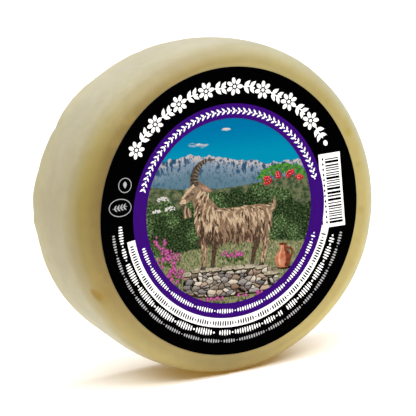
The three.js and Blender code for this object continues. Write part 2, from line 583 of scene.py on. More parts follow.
class RindPaint(Paint):
    """The rind's material, with where a point of the rind lies on the wheel."""

    def __init__(self, rind):
        super().__init__(bpy.data.materials.new("Waxy ivory rind"))
        self.rind = rind
        self.point = self.place()
        x, y, self.height = self.axes(self.point)
        self.across = x - AXIS.x
        self.up = self.height - AXIS.z
        self.out = (self.across * self.across + self.up * self.up).root()
        self.mottle = self.grain(self.point, 70, 4, 0.6)
        self.cloud = self.grain(self.point, 26, 2, 0.5)
        # How far a point lies along the section: below 0 on the flat of a face, then out round the edge
        # and over the rim. The back's own edge is narrower.
        face = rind.radius - rind.belly - rind.front_rounding
        back_face = rind.radius - rind.belly - rind.back_rounding
        self.from_front = self.out - face + (y - FRONT_FACE)
        self.from_back = (self.out - back_face + (CHEESE_HIGH.y - y)) * 1.85
        self.path = self.from_front.least(self.from_back) + (self.mottle - 0.5) * 2 * MM

    def towards(self, degrees):
        """1 on the side of the wheel that lies at an angle in degrees, and -1 across from it."""
        along, rise = polar(1, degrees)
        return (self.across * along + self.up * rise) / self.out.most(1 * MM) + (self.cloud - 0.5) * 0.08

    def colours_with_painted_light_and_shade(self):
        """The colours of the faces, the rounded edges and the rim, which drift round the wheel: partly the
        rind's own colour, partly painted shade on the left and painted light on the right, the top and the
        foot.
        """
        rind = self.rind
        # Painted shade turns the left olive and grey; painted light makes the right paler, the top greyer
        # and the foot warm and pale.
        right = (-self.towards(OLIVE_SIDE)).rise(0.0, 0.8)
        left = self.towards(OLIVE_SIDE).most(0) ** 3
        top = self.towards(TOP_SIDE).most(0) ** 5
        foot = self.towards(FOOT_SIDE).most(0) ** 3
        face = self.mix(rind.face_tan, rind.face_gold, right)
        face = self.mix(self.mix(face, rind.face_olive, left), rind.face_top, top)
        face = self.mix(face, rind.patch, self.grain(self.point, 120, 2, 0.5).rise(0.5, 0.8) * 0.3)
        edge = self.mix(rind.edge_tan, rind.edge_gold, right)
        edge = self.mix(self.mix(edge, rind.edge_olive, left), rind.edge_top, top)
        edge = self.mix(edge, rind.edge_low, foot)
        rim = self.mix(rind.rim_ivory, rind.rim_grey, self.towards(GREY_SIDE).rise(-0.2, 1.0))
        rim = self.mix(rim, rind.rim_low, foot)
        base = self.mix(face, edge, self.path.rise(0.5 * MM, 9.7 * MM))
        # Painted shade: the darker edge colour reaches further over the rim towards the upper left.
        past_edge = self.path + self.towards(WIDE_EDGE_SIDE).most(0) * 3 * MM
        base = self.mix(base, rim, past_edge.rise(9.5 * MM, 25.7 * MM))
        near_back = self.from_front.rise(32 * MM, 51 * MM) * self.from_back.rise(20 * MM, 30 * MM)
        return self.mix(base, rind.rim_back, near_back)

    def with_painted_light_and_shade(self, base):
        """The tints of single places, most of them painted light and shade."""
        for degrees, narrow, (begins, whole), (fades, ends), tint in PAINTED_LIGHT_AND_SHADE:
            share = self.towards(degrees).most(0) ** narrow * self.path.rise(begins * MM, whole * MM)
            share = share * self.path.rise(ends * MM, fades * MM)
            base = self.tint(base, tint, share)
        return base

    def clouded(self, base):
        """The clouds of the bare back, painted shade at the foot near the floor, and fine mottling all over.
        """
        rind = self.rind
        # The bare back has no light or dark side, only soft clouds.
        clouds = (self.cloud * 0.7 + self.mottle * 0.3).rise(0.38, 0.62)
        back = self.mix(rind.back_tan, rind.back_ivory, clouds)
        base = self.mix(base, back, self.from_back.rise(25 * MM, 5 * MM))
        # Painted shade below 15.5 mm, where the wheel meets the floor.
        base = self.tint(base, rind.floor_shade, self.height.rise(15.5 * MM, 0))
        broad = self.mix((0.96, 0.955, 0.945), (1.04, 1.04, 1.05), self.cloud.rise(0.3, 0.7))
        skin = self.grain(self.point, 210, 3, 0.6)
        fine = self.mix((0.97, 0.968, 0.96), (1.03, 1.032, 1.04), skin.rise(0.3, 0.7))
        return self.stretch(self.stretch(base, broad), fine)

    def marked(self, base):
        """The faint spots, and the stains of the dents."""
        for degrees, from_axis, back, reach, tint in SPOTS:
            x, z = around(AXIS.xz, from_axis * MM, degrees)
            spot = self.distance(self.point, (x, FRONT_FACE + back * MM, z))
            share = (spot + (self.mottle - 0.5) * 2 * MM).rise(1.5 * reach * MM, 0)
            base = self.tint(base, tint, share)
        for centre, reach, _ in dent_centres(self.rind):
            pit = self.distance(self.point, tuple(centre)) + (self.mottle - 0.5) * 1.5 * MM
            base = self.mix(base, self.rind.stain, pit.rise(2.4 * reach, 0.4 * reach) * 0.95)
        return base


def rind_material(rind):
    paint = RindPaint(rind)
    base = paint.marked(paint.clouded(paint.with_painted_light_and_shade(paint.colours_with_painted_light_and_shade())))
    fine = paint.grain(paint.point, 900, 3, 0.6)
    pores = paint.grain(paint.point, 260, 2, 0.5)
    return paint.finish(
        {
            "Base Color": base,
            "Roughness": 0.45 + 0.12 * paint.mottle,
            "Normal": paint.bump(fine * 0.4 + pores, 0.12 * MM, 0.5),
            "Subsurface Weight": 0.14,
            "Subsurface Scale": 0.004,
            "Subsurface Radius": (1.0, 0.75, 0.4),
            "IOR": 1.44,
            "Specular IOR Level": 0.45,
        }
    )


class CHEESE_OT_rind(bpy.types.Operator):
    """Builds the wheel of cheese with its uneven rind"""

    bl_idname = "cheese_wheel.rind"
    bl_label = "Rind"

    def execute(self, context):
        rind = context.scene.cheese_rind
        new_piece("rind", build_rind_mesh(rind), [rind_material(rind)], ("cheese",))
        return {"FINISHED"}


# Artwork on the label.

PAPER_BACK = FRONT_FACE - 0.01 * MM
INK = 0.009 * MM  # thickness of one layer of ink
LAYER = 0.012 * MM  # from one layer of ink to the next
TURN_COS, TURN_SIN = math.cos(LABEL_TURN), math.sin(LABEL_TURN)

# Edges of the label's rings, in label radii.
PICTURE_EDGE = 0.6425
PURPLE_EDGE = 0.745
BAND_EDGE = 0.803
LABEL_EDGE = 1.0

# How far the border, and the other plates, reach in under the ring that lies over them.
BORDER_TUCK = 0.03
TUCK = 0.02

# Layers of ink. The picture's own plates lie between its ground and the ring that frames it.
GROUND_LAYER = 0
BORDER_LAYER = 1
PANEL_LAYER = 2
MARK_LAYER = 3
RING_LAYER = 11
RING_MARK_LAYER = 12


def on_label(u, v, front):
    """The point at u, v in label radii, at a distance in front of the wheel's front face."""
    across = u * TURN_COS + v * TURN_SIN
    up = v * TURN_COS - u * TURN_SIN
    return LABEL_CENTRE + Vector((LABEL_RADIUS * across, PAPER_BACK - front, LABEL_RADIUS * up))


def art_place(paint):
    """The u and v of the point on the label, as numbers in a material."""
    x, _, z = paint.axes(paint.place())
    across = (x - LABEL_CENTRE.x) / LABEL_RADIUS
    up = (z - LABEL_CENTRE.z) / LABEL_RADIUS
    return across * TURN_COS - up * TURN_SIN, across * TURN_SIN + up * TURN_COS


def end_caps(row, way):
    """Rows that round off the end of a line of ink."""
    u, v, half, heading = row
    caps = []
    for degrees in (30, 55, 75):
        narrow, beyond = polar(half, degrees)
        du, dv = way * beyond * math.cos(heading), way * beyond * math.sin(heading)
        caps.append((u + du, v + dv, narrow, heading))
    return caps


class Print:
    """Flat plates of ink, each a closed thin solid, stacked in layers on the label.

    A plate's slot is the place of its ink among the piece's materials.
    """

    def __init__(self, paper_thickness):
        self.maker = bmesh.new()
        self.paper = paper_thickness
        self.count = 0

    def height(self, layer):
        """How far in front of the paper's back the next plate of a layer starts."""
        # A hair's difference in height keeps plates of one layer out of each other's plane.
        self.count += 1
        hair = self.count % 16 / 80
        return self.paper + (layer + hair) * LAYER

    def add_faces(self, corners, slot):
        for loop in corners:
            self.maker.faces.new(loop).material_index = slot

    def plate(self, outline, layer, slot=0):
        """One plate of ink from its outline in label radii."""
        front = self.height(layer)
        near = [self.maker.verts.new(on_label(u, v, front + INK)) for u, v in outline]
        far = [self.maker.verts.new(on_label(u, v, front)) for u, v in outline]
        walls = [
            (near[(i + 1) % len(near)], near[i], far[i], far[(i + 1) % len(near)])
            for i in range(len(near))
        ]
        self.add_faces([near, far[::-1], *walls], slot)

    def ribbon(self, path, layer, slot=0, closed=False, round_ends=True):
        """A line of ink along points (u, v, half its width there)."""
        rows = []
        last = len(path) - 1
        for i, (u, v, half) in enumerate(path):
            before = path[i - 1] if closed else path[max(i - 1, 0)]
            after = path[(i + 1) % len(path)] if closed else path[min(i + 1, last)]
            rows.append((u, v, half, math.atan2(after[1] - before[1], after[0] - before[0])))
        if round_ends and not closed:
            rows = end_caps(rows[0], -1)[::-1] + rows + end_caps(rows[-1], 1)
        front = self.height(layer)
        sections = []
        for u, v, half, heading in rows:
            du, dv = -half * math.sin(heading), half * math.cos(heading)
            sections.append(
                [
                    self.maker.verts.new(on_label(u + side * du, v + side * dv, front + depth))
                    for side, depth in ((1, INK), (-1, INK), (-1, 0), (1, 0))
                ]
            )
        pairs = list(zip(sections, sections[1:]))
        if closed:
            pairs.append((sections[-1], sections[0]))
        for first, second in pairs:
            self.add_faces(
                [(first[k], first[(k + 1) % 4], second[(k + 1) % 4], second[k]) for k in range(4)], slot
            )
        if not closed:
            self.add_faces([sections[0], sections[-1][::-1]], slot)

    def ring(self, inner, outer, layer, slot=0, start=0, end=360, centre=(0, 0)):
        """A ring, or a stretch of one between two angles in degrees."""
        whole = end - start >= 360
        steps = 192 if whole else max(12, round((end - start) / 2))
        middle, half = (inner + outer) / 2, (outer - inner) / 2
        path = []
        for i in range(steps if whole else steps + 1):
            path.append((*around(centre, middle, start + (end - start) * i / steps), half))
        self.ribbon(path, layer, slot, closed=whole, round_ends=False)

    def done(self):
        bmesh.ops.triangulate(
            self.maker, faces=[f for f in self.maker.faces if len(f.verts) > 4], ngon_method="EAR_CLIP"
        )
        bmesh.ops.recalc_face_normals(self.maker, faces=self.maker.faces)
        return self.maker


def turned(points, u, v, degrees):
    """Points (along, across) turned by an angle and moved to u, v."""
    cos, sin = polar(1, degrees)
    return [(u + along * cos - across * sin, v + along * sin + across * cos) for along, across in points]


def oval(u, v, long, wide, turn=0, steps=16):
    """An oval round u, v, from its two half axes. Turn is the heading of the first, in degrees."""
    circle = [polar(1, 360 * i / steps) for i in range(steps)]
    return turned([(long * along, wide * across) for along, across in circle], u, v, turn)


def leaf(u, v, long, wide, turn, steps=5):
    """A pointed leaf that starts at u, v and points along turn, in degrees."""
    edge = [(i / steps, math.sin(math.pi * (i / steps) ** 0.8)) for i in range(steps + 1)]
    points = [(long * along, wide / 2 * out) for along, out in edge]
    points += [(long * along, -wide / 2 * out) for along, out in edge[-2:0:-1]]
    return turned(points, u, v, turn)


def curve_between(before, start, end, after, share):
    """A number at a share of the way from start to end, on a smooth curve through all four."""
    bend = 2 * before - 5 * start + 4 * end - after
    twist = 3 * start - before - 3 * end + after
    return 0.5 * (2 * start + (end - before) * share + bend * share**2 + twist * share**3)


def smooth_path(points, steps=6):
    """A smooth curve through points that each hold any count of numbers."""
    padded = [points[0], *points, points[-1]]
    path = []
    for corners in zip(padded, padded[1:], padded[2:], padded[3:]):
        for i in range(steps):
            path.append(tuple(curve_between(*numbers, i / steps) for numbers in zip(*corners)))
    path.append(tuple(points[-1]))
    return path


def ink_material(name, tone):
    """Ink on coated paper: nearly one colour, with the faint grain of the paper under it."""
    paint = Paint(bpy.data.materials.new(name))
    place = paint.place()
    grain = paint.grain(place, 1800, 2, 0.5)
    paler = tuple(min(1, c * 1.1 + 0.0005) for c in tone)
    return paint.finish(
        {
            "Base Color": paint.mix(tone, paler, grain.rise(0.3, 0.7)),
            "Roughness": 0.5 + 0.08 * grain,
            "Normal": paint.bump(paint.grain(place, 700, 2, 0.5), 0.02 * MM, 0.3),
            "Specular IOR Level": 0.0,
        }
    )


def picture_material(paint, base):
    """Ends a material of the printed picture, which is matt."""
    return paint.finish({"Base Color": base, "Roughness": 0.5, "Specular IOR Level": 0.0})


def mottled_print(name, dark, light, scale):
    """Printed picture colour that drifts between two tones, in lumps."""
    paint = Paint(bpy.data.materials.new(name))
    u, v = art_place(paint)
    spread = paint.grain(paint.vector(u, v, 0.0), scale, 4, 0.65)
    return picture_material(paint, paint.mix(dark, light, spread.rise(0.35, 0.66)))


def paper_material():
    # The cut edge is dark grey-brown as painted shade: a thin shadow line round the label. The paper's
    # hidden back shares it.
    paint = Paint(bpy.data.materials.new("Cut paper edge and back"))
    fibre = paint.grain(paint.stretch(paint.place(), (1, 1, 3)), 900, 4, 0.6)
    base = paint.mix(srgb(96, 88, 76), srgb(126, 116, 100), fibre)
    return paint.finish({"Base Color": base, "Roughness": 0.8, "Normal": paint.bump(fibre, 0.02 * MM)})


class CHEESE_OT_label_paper(bpy.types.Operator):
    """Builds the round paper label"""

    bl_idname = "cheese_wheel.label_paper"
    bl_label = "Label paper"

    def execute(self, context):
        thick = context.scene.cheese_print.paper_thickness
        steps = 192
        softened = 1 - 0.02 * MM / LABEL_RADIUS
        # Each ring's radius in label radii, and how far it lies in front of the paper's back.
        section = [(1.0, 0.0), (1.0, thick * 0.7)]
        section += [(radius, thick) for radius in (softened, 0.75, 0.5, 0.25)]
        maker = bmesh.new()
        rows = [
            [maker.verts.new(on_label(*polar(radius, 360 * i / steps), front)) for i in range(steps)]
            for radius, front in section
        ]
        for first, second in zip(rows, rows[1:]):
            for i in range(steps):
                j = (i + 1) % steps
                maker.faces.new((first[i], first[j], second[j], second[i]))
        maker.faces.new(rows[-1])
        maker.faces.new(rows[0][::-1])
        bmesh.ops.triangulate(maker, faces=[f for f in maker.faces if len(f.verts) > 4])
        bmesh.ops.recalc_face_normals(maker, faces=maker.faces)
        new_piece("label_paper", maker, [paper_material()], ("label",))
        return {"FINISHED"}


def landscape_material():
    """The printed picture's ground: sky, ragged blue hills with pale tops, shrubs and a meadow."""
    paint = Paint(bpy.data.materials.new("Printed meadow landscape"))
    u, v = art_place(paint)
    art = paint.vector(u, v, 0.0)
    ragged = paint.grain(art, 30, 4, 0.7)

    # Sky, deeper towards the top, with two clouds.
    scene = paint.mix(ink(2, 149, 186), ink(0, 122, 175), v.rise(0.36, 0.6))
    puffs = paint.grain(paint.stretch(art, (1.0, 2.4, 1.0)), 9, 6, 0.66)
    for cloud_u, cloud_v, long, high in ((-0.24, 0.475, 0.12, 0.034), (-0.02, 0.565, 0.07, 0.02)):
        side, rise = (u - cloud_u) / long, (v - cloud_v) / high
        away = (side * side + rise * rise).root()
        cloud = (puffs * 1.3 + (1 - away) * 0.45).rise(0.86, 1.06)
        tone = paint.mix(ink(150, 176, 196), ink(240, 228, 214), rise.rise(-0.9, 0.5))
        scene = paint.mix(scene, tone, cloud)

    # Far blue hills with pale, stony tops.
    jagged = paint.grain(paint.vector(u, 0.0, 0.0), 8, 5, 0.62)
    far_top = 0.335 + 0.045 * (4.6 * u + 2.9).sine() + 0.13 * (jagged - 0.35)
    below = far_top - v
    folds = (paint.grain(paint.stretch(art, (1.5, 0.9, 1.0)), 13, 6, 0.68) * 2 - 1).size()
    hills = paint.mix(ink(138, 158, 176), ink(48, 84, 116), folds.rise(0.02, 0.22))
    hills = paint.mix(hills, ink(208, 198, 194), (0.28 - 1.6 * folds - 3.6 * below).rise(0.0, 0.16) * 0.9)
    hills = paint.mix(hills, ink(84, 122, 138), below.rise(0.05, 0.17) * 0.75)
    scene = paint.mix(scene, hills, below.rise(-0.003, 0.003))

    # Nearer green slopes.
    near_top = 0.185 + 0.04 * (3.3 * u - 1.3).sine() + 0.03 * ragged
    slopes = paint.mix(ink(52, 74, 52), ink(124, 128, 92), paint.grain(art, 26, 5, 0.7).rise(0.38, 0.64))
    scene = paint.mix(scene, slopes, (near_top - v).rise(-0.004, 0.004))

    # Dark shrubs with round crowns and small leaves.
    crowns = paint.cells(art, 8)
    shrub_top = 0.085 + 0.05 * (6.0 * u + 0.9).sine() + 0.13 * (0.62 - crowns) + 0.03 * ragged
    leaves = paint.grain(art, 70, 3, 0.8)
    shrubs = paint.mix(ink(22, 40, 24), ink(80, 108, 62), leaves.rise(0.4, 0.54))
    shrubs = paint.mix(shrubs, ink(158, 178, 130), leaves.rise(0.54, 0.64))
    shrubs = paint.mix(shrubs, paint.stretch(shrubs, (0.4, 0.42, 0.4)), crowns.rise(0.32, 0.64))
    scene = paint.mix(scene, shrubs, (shrub_top - v).rise(-0.006, 0.006))

    # The meadow in front.
    edge = -0.29 + 0.04 * (3.4 * u + 1.1).sine() + 0.06 * ragged
    blades = paint.grain(paint.stretch(art, (2.4, 1.0, 1.0)), 42, 5, 0.76)
    grass = paint.mix(ink(58, 72, 42), ink(158, 162, 114), blades.rise(0.38, 0.6))
    grass = paint.mix(grass, ink(190, 178, 144), ragged.rise(0.5, 0.64) * 0.7)
    scene = paint.mix(scene, grass, (edge - v).rise(-0.01, 0.01))
    return picture_material(paint, scene)


class CHEESE_OT_landscape(bpy.types.Operator):
    """Prints the sky, hills, shrubs and meadow of the label's picture"""

    bl_idname = "cheese_wheel.landscape"
    bl_label = "Landscape print"

    def execute(self, context):
        work = Print(context.scene.cheese_print.paper_thickness)
        work.plate([polar(PICTURE_EDGE + TUCK, 360 * i / 128) for i in range(128)], GROUND_LAYER)
        new_piece("print_landscape", work.done(), [landscape_material()])
        return {"FINISHED"}


# The label's borders and ornaments.

# The barred panel's corners: inner top, inner bottom, outer bottom and outer top.
PANEL = ((0.7005, 0.334), (0.7415, -0.178), (0.9105, -0.168), (0.8675, 0.346))

# The white band isn't quite in the middle, and runs between these angles.
BAND_CENTRE = (-0.0025, -0.0065)
BAND_START, BAND_END = 191, 348.5

# The borders' inks, in the order of their materials.
BORDER_BLACK, BORDER_PURPLE, BORDER_WHITE = range(3)


class CHEESE_OT_borders(bpy.types.Operator):
    """Prints the black border, the purple ring, the white band and the barred panel's ground"""

    bl_idname = "cheese_wheel.borders"
    bl_label = "Border print"

    def execute(self, context):
        settings = context.scene.cheese_print
        work = Print(settings.paper_thickness)
        work.ring(PURPLE_EDGE - BORDER_TUCK, LABEL_EDGE, BORDER_LAYER, BORDER_BLACK)
        work.ring(PICTURE_EDGE, PURPLE_EDGE, RING_LAYER, BORDER_PURPLE)
        work.ring(
            PURPLE_EDGE - TUCK, BAND_EDGE, PANEL_LAYER, BORDER_WHITE,
            start=BAND_START, end=BAND_END, centre=BAND_CENTRE,
        )
        work.plate(PANEL, PANEL_LAYER, BORDER_WHITE)
        materials = [
            ink_material("Black border ink", settings.black),
            ink_material("Purple ring ink", settings.purple),
            ink_material("White ink", settings.white),
        ]
        new_piece("print_borders", work.done(), materials)
        return {"FINISHED"}


GARLAND_RADIUS = 0.862
WHEAT_RADIUS = 0.694

# The middles of the two small emblems.
ROUND_EMBLEM = (-0.8075, 0.239)
OVAL_EMBLEM = (-0.8455, 0.085)

# The ornaments' inks, in the order of their materials.
ORNAMENT_WHITE, ORNAMENT_BLACK, ORNAMENT_GREY = range(3)

BEAD_ROWS = (
    # radius, start and end in degrees, layer, how tall the beads are, seed, ink, centre
    (0.697, 198, 343, RING_MARK_LAYER, 0.034, 3, ORNAMENT_WHITE, (0, 0)),
    (0.775, 194, 345, MARK_LAYER, 0.042, 5, ORNAMENT_BLACK, BAND_CENTRE),
    (0.846, 183.5, 200, PANEL_LAYER, 0.038, 184, ORNAMENT_WHITE, (0, 0)),
    (0.846, 202, 262, PANEL_LAYER, 0.050, 202, ORNAMENT_WHITE, (0, 0)),
    (0.846, 265.5, 300, PANEL_LAYER, 0.042, 266, ORNAMENT_WHITE, (0, 0)),
    (0.846, 303, 344, PANEL_LAYER, 0.048, 303, ORNAMENT_WHITE, (0, 0)),
    (0.904, 187, 347, PANEL_LAYER, 0.028, 13, ORNAMENT_GREY, (0, 0)),
)


def daisy(work, u, v, radius, turn, layer, petals=7):
    """A flower of narrow petals round a dot, with a dark gap between them."""
    for k in range(petals):
        at = turn + 360 * k / petals
        petal = around((u, v), radius * 0.655, at)
        work.plate(oval(*petal, radius * 0.35, radius * 0.22, at, 12), layer)
    work.plate(oval(u, v, radius * 0.185, radius * 0.185, 0, 10), layer)


def garland(work, start, end, layer, units=8):
    """A running garland between two angles: daisies, with a stem and two pairs of leaves after each."""
    step = (end - start) / units
    # The share of a step where each stem begins, and how much of the step it takes.
    stem_begins, stem_takes = 0.31, 0.38
    for k in range(units):
        at = start + step * k
        daisy(work, *polar(GARLAND_RADIUS, at), 0.064, at - 90, layer)
        bend = 0.006 * (-1) ** k
        stem = []
        for i in range(9):
            radius = GARLAND_RADIUS + bend * math.sin(math.pi * i / 8)
            stem.append((*polar(radius, at + step * (stem_begins + stem_takes * i / 8)), 0.0046))
        work.ribbon(stem, layer)
        for share, long, wide in ((0.345, 0.060, 0.0285), (0.545, 0.057, 0.0275)):
            radius = GARLAND_RADIUS + bend * math.sin(math.pi * (share - stem_begins) / stem_takes)
            foot = polar(radius, at + step * share)
            for side in (-1, 1):
                work.plate(leaf(*foot, long, wide, at + step * share - 90 + 50 * side, 7), layer + 1)
    work.plate(oval(*polar(GARLAND_RADIUS, end + 1.6), 0.02, 0.016, end - 90), layer)


def wheat_row(work, start, end, layer, pitch=3.4):
    """A row of small ears of grain: two leaves that open from a dot."""
    count = round((end - start) / pitch)
    for i in range(count + 1):
        at = start + (end - start) * i / count
        foot = polar(WHEAT_RADIUS, at)
        for side in (-1, 1):
            work.plate(leaf(*foot, 0.034, 0.0135, at + 90 + 44 * side), layer)
        work.plate(oval(*polar(WHEAT_RADIUS, at - pitch * 0.2), 0.0055, 0.0055, 0, 8), layer)


def bead_row(work, radius, start, end, layer, size, seed, slot, centre):
    """Strings of small beads that swell towards their middle, with a round dot between two strings."""
    draw = random.Random(seed)
    pitch = math.degrees(0.019 / radius)
    at = start
    while at < end:
        count = min(draw.choice((5, 7, 7, 9, 11)), max(1, round((end - at) / pitch)))
        for k in range(count):
            tall = size * (0.68 + 0.32 * math.sin(math.pi * (k + 0.5) / count))
            work.plate(oval(*around(centre, radius, at), tall / 2, 0.0057, at, 10), layer, slot)
            at += pitch
        if at < end:
            dot = around(centre, radius, at + 0.2 * pitch)
            work.plate(oval(*dot, size * 0.15, size * 0.15, 0, 10), layer, slot)
        at += 1.4 * pitch


class CHEESE_OT_ornaments(bpy.types.Operator):
    """Prints the white garland, the marks on the rings, the small emblems and the panel's bars"""

    bl_idname = "cheese_wheel.ornaments"
    bl_label = "Ornament print"

    def execute(self, context):
        settings = context.scene.cheese_print
        work = Print(settings.paper_thickness)
        garland(work, start=146.5, end=27, layer=PANEL_LAYER)
        wheat_row(work, start=15, end=163, layer=RING_MARK_LAYER)
        for row in BEAD_ROWS:
            bead_row(work, *row)
        self.emblems(work)
        self.bars(work)
        materials = [
            ink_material("White ornament ink", settings.white),
            ink_material("Black ornament ink", settings.black),
            ink_material("Grey ornament ink", settings.grey),
        ]
        new_piece("print_ornaments", work.done(), materials)
        return {"FINISHED"}

    def emblems(self, work):
        """A small round emblem with a drop and a small oval one with a sprig."""
        for centre, long, high in ((ROUND_EMBLEM, 0.049, 0.050), (OVAL_EMBLEM, 0.0853, 0.060)):
            outline = [(*point, 0.0025) for point in oval(*centre, long, high, 0, 40)]
            work.ribbon(outline, PANEL_LAYER, ORNAMENT_GREY, closed=True)
        u, v = ROUND_EMBLEM
        work.plate(leaf(u, v + 0.027, 0.05, 0.028, -90, 8), PANEL_LAYER, ORNAMENT_GREY)
        u, v = OVAL_EMBLEM
        stalk = [(u - 0.056, v - 0.007, 0.0018), (u + 0.054, v + 0.007, 0.0018)]
        work.ribbon(stalk, PANEL_LAYER, ORNAMENT_GREY)
        for k in range(4):
            foot = (u - 0.046 + 0.024 * k, v - 0.006 + 0.003 * k)
            for side in (-1, 1):
                work.plate(leaf(*foot, 0.032, 0.0105, 7 + 48 * side), PANEL_LAYER, ORNAMENT_GREY)

    def bars(self, work):
        """Plain bars of uneven width across the white panel, and a row of lozenges beside them."""
        draw = random.Random(21)
        inner_top, inner_bottom, outer_bottom, outer_top = (Vector(corner) for corner in PANEL)
        along = outer_bottom - outer_top
        inward = (inner_top - outer_top).normalized()
        margin, long = 0.016, 0.103
        # The bars follow each other down the panel, at shares of its height.
        at = 0.07
        while at < 0.925:
            wide = draw.choice((0.016, 0.016, 0.022, 0.034))
            first = outer_top + along * at + inward * margin
            second = first + along * wide
            corners = (first, second, second + inward * long, first + inward * long)
            work.plate([tuple(corner) for corner in corners], MARK_LAYER, ORNAMENT_BLACK)
            at += wide + draw.choice((0.014, 0.014, 0.022))
        for i in range(13):
            spot = inner_top.lerp(inner_bottom, 0.07 + 0.86 * i / 12) - inward * 0.03
            work.plate(oval(*spot, 0.0125, 0.008, 94, 4), MARK_LAYER, ORNAMENT_BLACK)


# The outcrop the goat stands on, and the jug beside it.

MOUND_MIDDLE = (-0.03, -0.47)
JUG_FOOT = (0.425, -0.425)

# The rocks' inks, in the order of their materials.
RUBBLE, SLAB, SHADE, CLAY, CLAY_SHADE, CLAY_LIGHT = range(6)

# Layers of ink from the bottom up.
MOUND_SHADE_LAYER, MOUND_LAYER, SLAB_SHADE_LAYER, SLAB_LAYER = range(1, 5)
JUG_SHADE_LAYER, HANDLE_LAYER, JUG_LAYER, JUG_TONE_LAYER, LIP_LAYER = range(3, 8)


def rubble_material():
    """Printed field stones of uneven size and tone, lit from above, with dark gaps between them."""
    paint = Paint(bpy.data.materials.new("Printed rubble"))
    u, v = art_place(paint)
    wobble = paint.grain(paint.vector(u, v, 0.0), 40, 2, 0.6)
    art = paint.vector(u + 0.02 * wobble, (v + 0.02 * wobble) * 1.7, 0.0)
    count = 19  # stones for each label radius
    gap = paint.cells(art, count, "DISTANCE_TO_EDGE")
    tone, hue, _ = paint.axes(paint.cells(art, count, output="Color"))
    middle = paint.axes(paint.cells(art, count, output="Position"))[1]
    lift = paint.axes(art)[1] - middle
    speck = paint.grain(paint.vector(u, v, 0.0), 90, 4, 0.75)
    stone = paint.mix(ink(136, 120, 104), ink(234, 222, 204), tone.rise(0.05, 0.7))
    stone = paint.mix(stone, ink(138, 137, 140), hue.rise(0.55, 0.8) * 0.7)
    stone = paint.mix(stone, ink(172, 132, 100), hue.rise(0.25, 0.1) * 0.6)
    stone = paint.mix(stone, paint.stretch(stone, (0.5, 0.48, 0.46)), speck.rise(0.5, 0.68) * 0.7)
    stone = paint.mix(stone, paint.stretch(stone, (0.45, 0.42, 0.42)), lift.rise(0.0, -0.026))
    stone = paint.mix(stone, paint.stretch(stone, (1.25, 1.25, 1.22)), lift.rise(0.006, 0.024))
    return picture_material(paint, paint.mix(ink(24, 19, 16), stone, gap.rise(0.02, 0.1)))


class CHEESE_OT_rocks(bpy.types.Operator):
    """Prints the rocky outcrop in the picture's foreground, and an earthenware jug"""

    bl_idname = "cheese_wheel.rocks"
    bl_label = "Rock print"

    def execute(self, context):
        work = Print(context.scene.cheese_print.paper_thickness)
        self.outcrop(work, random.Random(4))
        self.jug(work, *JUG_FOOT)
        materials = [
            rubble_material(),
            mottled_print("Printed flat stones", ink(150, 138, 112), ink(216, 206, 182), 46),
            mottled_print("Printed shade under stones", ink(30, 26, 18), ink(64, 56, 38), 50),
            mottled_print("Printed earthenware", ink(188, 108, 76), ink(224, 150, 114), 30),
            mottled_print("Printed earthenware shade", ink(96, 46, 34), ink(146, 76, 52), 30),
            mottled_print("Printed earthenware light", ink(224, 160, 124), ink(240, 192, 160), 30),
        ]
        new_piece("print_rocks", work.done(), materials)
        return {"FINISHED"}

    def outcrop(self, work, draw):
        """A low mound of rubble with a ragged outline, and flat slabs along its top."""
        outline = []
        for i in range(44):
            side, rise = polar(1, 360 * i / 44)
            reach = draw.uniform(0.965, 1.035)
            wide = 0.37 + 0.05 * side
            high = 0.085 if rise > 0 else 0.115
            u = MOUND_MIDDLE[0] + wide * reach * math.copysign(abs(side) ** 0.6, side)
            v = MOUND_MIDDLE[1] + high * reach * math.copysign(abs(rise) ** 0.7, rise)
            outline.append((u, v))
        work.plate([(u, v - 0.012) for u, v in outline], MOUND_SHADE_LAYER, SHADE)
        work.plate(outline, MOUND_LAYER, RUBBLE)
        u = -0.36
        while u < 0.30:
            wide = draw.uniform(0.03, 0.07)
            # The mound's top is level in its middle and falls away towards its ends.
            top = -0.385 - 0.55 * max(abs(u - MOUND_MIDDLE[0] + wide) - 0.24, 0) ** 1.1
            slab = [
                (u, top - 0.022), (u + 0.3 * wide, top - 0.028), (u + 1.6 * wide, top - 0.027),
                (u + 1.95 * wide, top - 0.018), (u + 1.8 * wide, top - draw.uniform(-0.002, 0.006)),
                (u + wide, top + draw.uniform(-0.002, 0.005)), (u + 0.15 * wide, top - 0.004),
            ]
            work.plate([(across, up - 0.009) for across, up in slab], SLAB_SHADE_LAYER, SHADE)
            work.plate(slab, SLAB_LAYER, SLAB)
            u += 2 * wide

    def jug(self, work, u, v):
        """A jug with a round belly, a neck, a lip and a handle, standing at u, v."""
        work.plate(oval(u + 0.012, v - 0.002, 0.058, 0.012, 0, 20), JUG_SHADE_LAYER, SHADE)
        handle = ((0.022, 0.135), (0.060, 0.128), (0.072, 0.095), (0.050, 0.062))
        handle = smooth_path([(u + across, v + up, 0.0075) for across, up in handle])
        work.ribbon(handle, HANDLE_LAYER, CLAY_SHADE)
        profile = (
            # height and half width
            (0.0, 0.034), (0.03, 0.054), (0.065, 0.062), (0.1, 0.046),
            (0.125, 0.026), (0.145, 0.024), (0.162, 0.034),
        )
        body = smooth_path([(u, v + up, half) for up, half in profile], 4)
        shade = [(u + half * 0.66, v, half * 0.34) for _, v, half in body]
        light = [(u - half * 0.5, v, half * 0.13) for _, v, half in body[3:-3]]
        work.ribbon(body, JUG_LAYER, CLAY, round_ends=False)
        work.ribbon(shade, JUG_TONE_LAYER, CLAY_SHADE, round_ends=False)
        work.ribbon(light, JUG_TONE_LAYER, CLAY_LIGHT)
        work.plate(oval(u, v + 0.162, 0.034, 0.008, 0, 16), LIP_LAYER, CLAY_SHADE)


# The goat.

GOAT_AT = (0.02, -0.068)
GOAT_SCALE = 1.38

